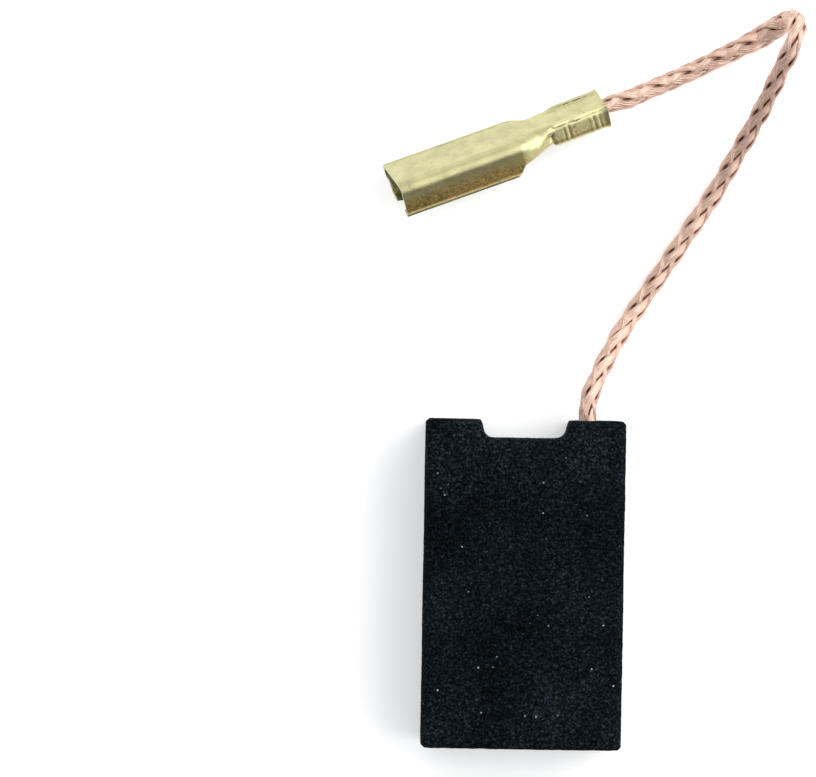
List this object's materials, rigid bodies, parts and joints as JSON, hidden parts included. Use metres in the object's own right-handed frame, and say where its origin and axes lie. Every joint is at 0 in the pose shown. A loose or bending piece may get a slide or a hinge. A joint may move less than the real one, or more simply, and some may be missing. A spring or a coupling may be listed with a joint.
{
  "type": "carbon brush",
  "caption": "Notched carbon motor brush with a braided copper shunt lead tamped into its head and a folded brass tab receptacle crimped on the lead's end.",
  "frame": {"origin": "middle of the carbon block's underside, on the surface that the brush lies on", "axes": "+X across the block's width towards the lead's side, +Y along its length towards the notched head, +Z through its thickness, upwards"},
  "size_m": [0.0261, 0.0466, 0.0063],
  "materials": {
    "carbon": "matt pressed carbon graphite with a fine sparkling grain",
    "tamping_powder": "packed copper and graphite powder",
    "copper_braid": "bare fine-wire copper braid",
    "brass_sheet": "bright stamped brass sheet"
  },
  "bodies": {
    "root": {"carbon_block": "carbon", "tamping_plug": "tamping_powder", "shunt_lead": "copper_braid", "terminal": "brass_sheet"}
  },
  "joints": []
}
